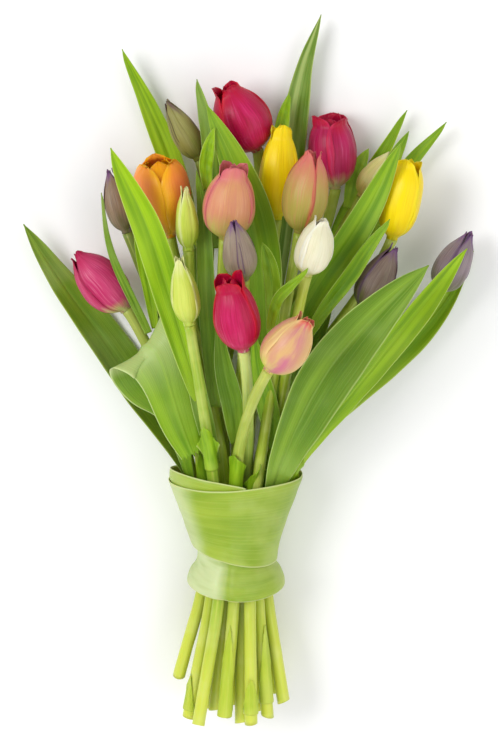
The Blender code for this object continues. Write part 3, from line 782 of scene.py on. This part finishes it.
# torn leaf sheaths round the stems: from and to in millimetres above the tie (below it with a minus),
# how far round they reach and which way they face in degrees, how torn their upper edge is, how far
# it stands off, and a shift in millimetres for those that stand beside their stem
sheathLook = dict(bright, dark=tone(116, 160, 12), light=tone(154, 194, 32), base=tone(176, 202, 76))
footLook = dict(bright, dark=tone(168, 192, 40), light=tone(190, 206, 64), base=tone(198, 210, 84),
                vein=tone(204, 216, 96), groove=tone(146, 176, 30), haze=tone(206, 216, 112))
sheaths = {
    "budLower": dict(stem="pale_bud_lower", low=56, high=90, round=270, facing=95, torn=11, flare=5.0),
    "peach": dict(stem="peach_front", low=38, high=70, round=300, facing=90, torn=5, flare=2.2),
    "crimson": dict(stem="crimson_centre", low=38, high=62, round=250, facing=80, torn=7, flare=5.0,
                    shift=(4, 0, 6)),
    "right": dict(stem="purple_far", low=38, high=63, round=230, facing=60, torn=8, flare=5.0,
                  shift=(4, 0, 8)),
    "white": dict(stem="white", low=36, high=70, round=230, facing=100, torn=14, flare=2.0, look=mid),
    "left": dict(stem="pale_bud_upper", low=36, high=66, round=220, facing=110, torn=14, flare=2.2,
                 look=mid),
    "footLong": dict(stem="peach_front", low=-104, high=-42, round=250, facing=80, torn=24, flare=0.6,
                     look=footLook),
    "footSide": dict(stem="white", low=-96, high=-44, round=240, facing=60, torn=20, flare=0.8,
                     look=footLook),
    "footTorn": dict(stem="pink_green", low=-100, high=-76, round=300, facing=100, torn=12, flare=1.2,
                     look=footLook),
    "footLeft": dict(stem="pale_bud_upper", low=-102, high=-78, round=200, facing=120, torn=10, flare=0.9,
                     look=footLook),
    "footBack": dict(stem="crimson_top", low=-98, high=-50, round=220, facing=200, torn=16, flare=0.8,
                     look=footLook),
}
sheathDesign = {"rows": 26, "columns": 31, "thick": 0.55 * mm, "clear": 0.35 * mm}


def makeSheath(name, design, order):
    line, radius = stemLines[design["stem"]]
    ahead = unit(np.gradient(line, axis=0))
    above = (line[:, 1] - tieCentre[1]) / mm
    span, facing = math.radians(design["round"]) / 2, math.radians(design["facing"])
    shift = np.array(design.get("shift", (0, 0, 0))) * mm

    def surface(u, v):
        tongue = 0.4 * math.sin(order * 2.3)
        tear = design["torn"] * (1.5 * np.abs(u - tongue) ** 1.2 + 0.12 * np.abs(np.sin(u * 17 + order))) * v
        height = design["low"] + (design["high"] - design["low"]) * v - tear
        at = np.interp(height, above, np.linspace(0, 1, len(line)))
        right, up = across(pick(ahead, at))
        angle = facing + span * u * (1 - 0.45 * v)
        flare = design["flare"] * mm * v ** 3 * (0.6 + 0.4 * np.cos(u * 5))
        out = pick(radius, at) * 1.02 + sheathDesign["clear"] + flare
        away = right * np.cos(angle)[..., None] + up * np.sin(angle)[..., None]
        return pick(line, at) + away * out[..., None] + shift

    shape = sheet(surface, sheathDesign["rows"], sheathDesign["columns"],
                  lambda u, v: sheathDesign["thick"] * (1 - 0.6 * np.abs(u) ** 4) * (1 - 0.4 * v))
    material = leafMaterial("sheath." + name, design.get("look", sheathLook), order * 3.1 + 90)
    makePiece("sheath." + name, shape, material)


for order, (name, design) in enumerate(sheaths.items()):
    makeSheath(name, design, order)
print("sheaths:", len(sheaths))

# the pale colour below is a painted highlight for each band's lit left side
wrapLook = {"dark": tone(132, 162, 32), "light": tone(158, 182, 54), "haze": tone(176, 194, 100),
            "hazeShare": 0.6, "vein": tone(176, 198, 84), "edge": tone(214, 224, 150),
            "paintedHighlight": tone(216, 226, 176)}
# each band's first angle in degrees (90 faces up) and its turns, then in millimetres: how far each
# edge tilts up at the right, how far the hidden inner end rises over the rim, its step inward and
# crease, how far each edge is raised at the left and all round, and how far the lower edge curves up
# at both sides
wraps = {
    "upper": dict(node="wrap_upper", start=80, turns=1.34, rimTilt=1.6, footTilt=-2.6, rise=8.0, step=1.5,
                  crease=0.4, footRise=6.0, footUp=2.5, footCurve=1.0, topRise=0.0, topUp=0.0,
                  look=dict(wrapLook, highlightFrom=0.86)),
    "lower": dict(node="wrap_lower", start=236, turns=1.06, rimTilt=0.0, footTilt=-1.2, rise=0.0, step=1.5,
                  crease=1.6, footRise=0.0, footUp=1.5, footCurve=4.5, topRise=6.5, topUp=3.0,
                  look=dict(wrapLook, highlightFrom=0.60, highlightShare=0.75)),
}
wrapDesign = {"levels": 30, "hiddenRim": 6 * mm, "rows": 30, "columns": 200, "thick": 0.8 * mm,
              "inset": 0.45 * mm, "risenTurns": 0.42, "stepTurns": 0.1, "endTurns": 0.015,
              "creaseAt": math.radians(104), "creaseWidth": 0.06}


def makeWrap(name, design):
    node = design["node"]
    points, edges = cadMesh(node)
    low, high = points[:, 1].min(), points[:, 1].max()
    rimY = high - (wrapDesign["hiddenRim"] if design["rise"] else 0)
    levels = np.linspace(low + 0.3 * mm, rimY - 0.3 * mm, wrapDesign["levels"])
    middleX, middleZ, wide, tall = [], [], [], []
    for y in levels:
        cut = section(points, edges, np.array([0, y, 0]), headward)
        nearest, farthest = cut.min(axis=0), cut.max(axis=0)
        middleX.append((nearest[0] + farthest[0]) / 2)
        middleZ.append((nearest[2] + farthest[2]) / 2)
        wide.append((farthest[0] - nearest[0]) / 2)
        tall.append((farthest[2] - nearest[2]) / 2)
    middleX, middleZ, wide, tall = (relax(row, 6) for row in (middleX, middleZ, wide, tall))
    turns, start = design["turns"], math.radians(design["start"])

    def surface(u, v):
        wound = (u + 1) / 2 * turns
        angle = start + wound * 2 * math.pi
        leftward = (0.5 - 0.5 * np.cos(angle)) ** 2 * mm
        lift = design["footUp"] + design["footTilt"] * np.cos(angle) + 0.8 * wobble(angle, 0, 1.0)
        bottom = low + lift * mm
        bottom = bottom + design["footRise"] * leftward + design["footCurve"] * mm * np.cos(angle) ** 2
        # the inner end stands above the rim for its first half turn
        standing = np.clip(wound / wrapDesign["risenTurns"], 0, 1)
        risen = design["rise"] * mm * np.sin(math.pi * standing) ** 0.8
        top = rimY + design["rimTilt"] * mm * np.cos(angle) + 0.8 * mm * wobble(angle * 1.3, 1, 2.0)
        top = top + risen + design["topRise"] * leftward + design["topUp"] * mm
        y = bottom + (top - bottom) * v
        # a layer steps in where the next turn covers it
        covered = 1 - smooth((wound - (turns - 1)) / wrapDesign["stepTurns"])
        inward = wrapDesign["inset"] + design["step"] * mm * covered
        inward = inward + 0.2 * mm * (1 + wobble(angle * 1.5, v * 5, 3.0))
        crease = np.sin((angle - wrapDesign["creaseAt"]) / 2) / wrapDesign["creaseWidth"]
        inward = inward + design["crease"] * mm * np.exp(-crease ** 2)
        # the outermost end curls in a little
        ending = smooth((wound - turns + wrapDesign["endTurns"]) / wrapDesign["endTurns"])
        inward = inward + 0.5 * mm * ending
        across = np.interp(y, levels, wide) - inward
        deep = np.interp(y, levels, tall) - inward
        x = np.interp(y, levels, middleX) + across * np.cos(angle)
        z = np.interp(y, levels, middleZ) + deep * np.sin(angle)
        return np.stack([x, y, z], axis=-1)

    shape = sheet(surface, wrapDesign["rows"], wrapDesign["columns"],
                  lambda u, v: wrapDesign["thick"] * (1 - 0.5 * smooth(np.abs(2 * v - 1) * 8 - 7)))
    material = wrapMaterial("wrap." + name, design["look"], 3.0 + turns)
    makePiece("wrap." + name, shape, material, node)


for name, design in wraps.items():
    makeWrap(name, design)
print("wraps:", len(wraps))

tieLook = {"dark": tone(128, 104, 62), "light": tone(184, 158, 104)}
tieDesign = {"strands": 2, "turns": 46, "strandShare": 0.55, "steps": 420, "sides": 8}


def makeTie():
    # twine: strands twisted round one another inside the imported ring
    g = Graph("twine")
    fibre = g.cloud(1800.0, 3.0)
    colour = g.mix(g.ramp(fibre, 0.35, 0.65), tieLook["dark"], tieLook["light"])
    material = g.finish(colour, fibre, 0.0003, 0.85)
    low, high = np.array(tieLow), np.array(tieHigh)
    cord = (high[1] - low[1]) / 2
    ring = (high[0] - low[0]) / 2 - cord
    shapes = []
    for strand in range(tieDesign["strands"]):
        t = np.linspace(0, 2 * math.pi, tieDesign["steps"], endpoint=False)
        twist = t * tieDesign["turns"] + 2 * math.pi * strand / tieDesign["strands"]
        thick = cord * tieDesign["strandShare"]
        away = ring + (cord - thick) * np.cos(twist)
        line = tieCentre + np.stack([away * np.cos(t), (cord - thick) * np.sin(twist), away * np.sin(t)], 1)
        ahead = unit(np.roll(line, -1, 0) - np.roll(line, 1, 0))
        outer = unit(line - tieCentre)
        outer = unit(outer - ahead * np.sum(outer * ahead, 1, keepdims=True))
        other = np.cross(ahead, outer)
        angle = np.linspace(0, 2 * math.pi, tieDesign["sides"], endpoint=False)
        rim = outer[:, None] * np.cos(angle)[:, None] + other[:, None] * np.sin(angle)[:, None]
        tube = line[:, None] + thick * rim
        index = np.arange(len(t) * len(angle)).reshape(len(t), len(angle))
        after = np.roll(index, -1, 0)
        quads = np.stack([index, np.roll(index, -1, 1), np.roll(after, -1, 1), after], -1).reshape(-1, 4)
        shapes.append((tube.reshape(-1, 3), quads, np.zeros((tube.size // 3, 2))))
    makePiece("tie.twine", joined(shapes), material, "tie")


makeTie()
print("tie made")

floorDesign = {"size": 4.0, "colour": tone(252, 252, 252)}
cameraDesign = {"distance": 1.5, "tilt": 14, "seen": 0.4385, "aim": (0.0, 0.0095, 0.045), "sensor": 36}
lightDesign = {
    "key": dict(place=(-1.0, 0.5, 1.35), size=0.9, power=15.0),
    "fill": dict(place=(1.1, -0.1, 1.2), size=1.4, power=6.5),
    "front": dict(place=(0.1, -1.2, 1.0), size=1.0, power=4.5),
}
lightAim = Vector((0, 0, 0.05))
worldLight = 0.58


def makeFloor():
    g = Graph("floor")
    g.finish(floorDesign["colour"], g.cloud(300.0), 0.00002, 0.9)
    half = floorDesign["size"] / 2
    mesh = bpy.data.meshes.new("floor")
    corners = [(-half, -half, 0), (half, -half, 0), (half, half, 0), (-half, half, 0)]
    mesh.from_pydata(corners, [], [(0, 1, 2, 3)])
    mesh.materials.append(g.material)
    floor = bpy.data.objects.new("floor", mesh)
    scene.collection.objects.link(floor)


def makeCamera():
    # looks down on the bunch, leaning a little from the heads' side
    tilt = math.radians(cameraDesign["tilt"])
    back = Vector((0, math.sin(tilt), math.cos(tilt)))
    data = bpy.data.cameras.new("camera")
    data.sensor_width = cameraDesign["sensor"]
    data.lens = data.sensor_width * cameraDesign["distance"] / cameraDesign["seen"]
    camera = bpy.data.objects.new("camera", data)
    camera.location = Vector(cameraDesign["aim"]) + back * cameraDesign["distance"]
    camera.rotation_euler = (-tilt, 0, 0)
    scene.collection.objects.link(camera)
    scene.camera = camera


def makeLights():
    for name, light in lightDesign.items():
        data = bpy.data.lights.new(name, "AREA")
        data.shape = "DISK"
        data.size = light["size"]
        data.energy = light["power"]
        lamp = bpy.data.objects.new(name, data)
        lamp.location = light["place"]
        lamp.rotation_euler = (lightAim - lamp.location).to_track_quat("-Z", "Y").to_euler()
        scene.collection.objects.link(lamp)
    world = bpy.data.worlds.new("studio")
    world.use_nodes = True
    world.node_tree.nodes["Background"].inputs[0].default_value = (1, 1, 1, 1)
    world.node_tree.nodes["Background"].inputs[1].default_value = worldLight
    scene.world = world
    scene.view_settings.view_transform = "Standard"


makeFloor()
makeCamera()
makeLights()
print("camera and light ready")
